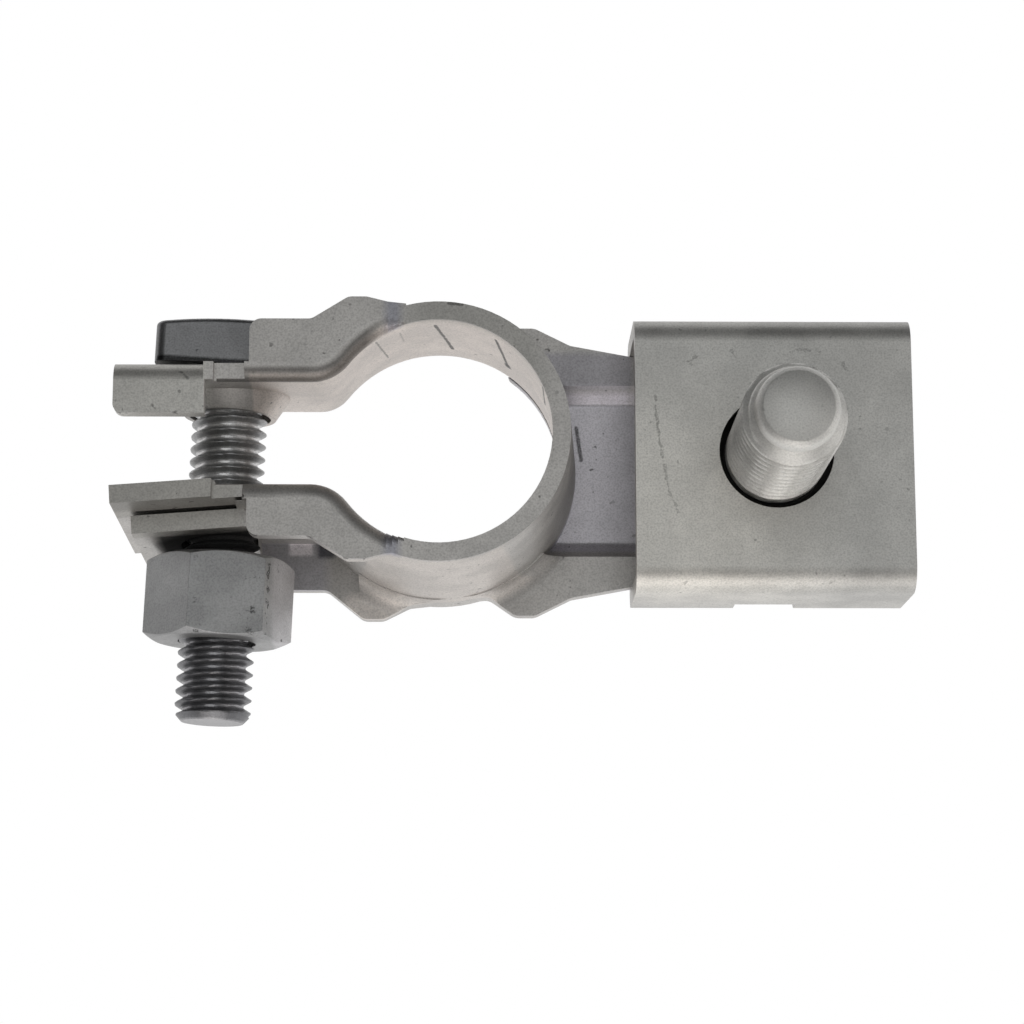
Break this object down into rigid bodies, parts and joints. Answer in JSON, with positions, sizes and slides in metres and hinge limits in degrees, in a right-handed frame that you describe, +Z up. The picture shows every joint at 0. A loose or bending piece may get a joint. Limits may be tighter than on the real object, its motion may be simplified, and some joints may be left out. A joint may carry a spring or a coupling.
{
  "type": "battery terminal clamp",
  "caption": "Folded sheet battery post clamp with a tapered collar, a cross bolt and nut through its ears, and an upright stud held by a box cover",
  "frame": {"origin": "on the battery post's axis, at the clamp's lowest plane", "axes": "+Z runs up along the post and the stud; +X points from the post to the stud, along the clamp's length"},
  "size_m": [0.0619, 0.0335, 0.026],
  "materials": {
    "body_plating": "matte grey plating on folded sheet",
    "cover_plating": "matte grey plating on folded sheet",
    "stud_plating": "matte plating on threaded steel",
    "bolt_plating": "dark matte plating on threaded steel",
    "nut_plating": "worn matte plating"
  },
  "bodies": {
    "clamp": {"terminal_body": "body_plating", "cover_bracket": "cover_plating", "stud_bolt": "stud_plating", "clamp_bolt": "bolt_plating"},
    "nut": {"clamp_nut": "nut_plating"}
  },
  "joints": [
    {"name": "nut_run", "type": "slide", "parent": "clamp", "child": "nut", "axis": [-0.0401, -0.9992, 0], "range_m": [-0.0006, 0.006]}
  ]
}
